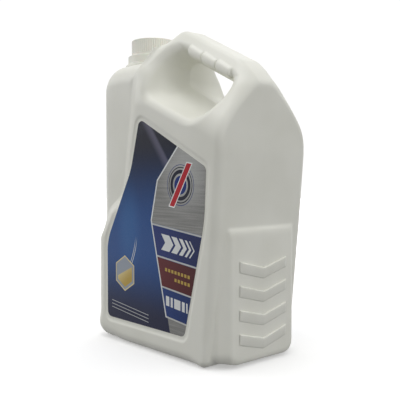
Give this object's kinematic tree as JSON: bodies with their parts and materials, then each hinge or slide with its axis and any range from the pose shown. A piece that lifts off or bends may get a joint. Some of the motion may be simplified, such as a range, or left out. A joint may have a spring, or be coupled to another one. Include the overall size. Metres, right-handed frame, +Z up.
{
  "type": "motor oil bottle",
  "caption": "Tall blown plastic oil bottle with a slanted through-handle, a ribbed screw cap on a tamper band, a grip pad with chevron bars and a label panel on each face.",
  "frame": {"origin": "middle of the base, on the surface that the bottle stands on", "axes": "+Z up; -X towards the neck, +X towards the grip pad; -Y is the front label's face"},
  "size_m": [0.196, 0.116, 0.3157],
  "materials": {
    "bottle_plastic": "blown off-white polyethylene, soft satin",
    "cap_plastic": "moulded warm off-white, satin",
    "band_plastic": "moulded warm off-white, satin",
    "wad_foam": "foamed white liner",
    "seal_foil": "satin foil",
    "label_film": "printed film, semi-gloss",
    "oil": "clear amber liquid"
  },
  "bodies": {
    "bottle": {"bottle": "bottle_plastic", "tamper_band": "band_plastic", "foil_seal": "seal_foil", "front_label": "label_film", "back_label": "label_film", "oil_fill": "oil"},
    "liner": {"cap_liner": "wad_foam"},
    "cap": {"cap": "cap_plastic"}
  },
  "joints": [
    {"name": "cap_rise", "type": "slide", "parent": "bottle", "child": "liner", "axis": [0, 0, 1], "range_m": [0, 0.00563]},
    {"name": "cap_turn", "type": "hinge", "parent": "liner", "child": "cap", "pos_m": [-0.067, 0, 0.309], "axis": [0, 0, 1], "range_deg": [0, 450]}
  ],
  "couplings": [
    {"joint": "cap_rise", "follows": "cap_turn", "m_per_rad": 0.0007162}
  ]
}
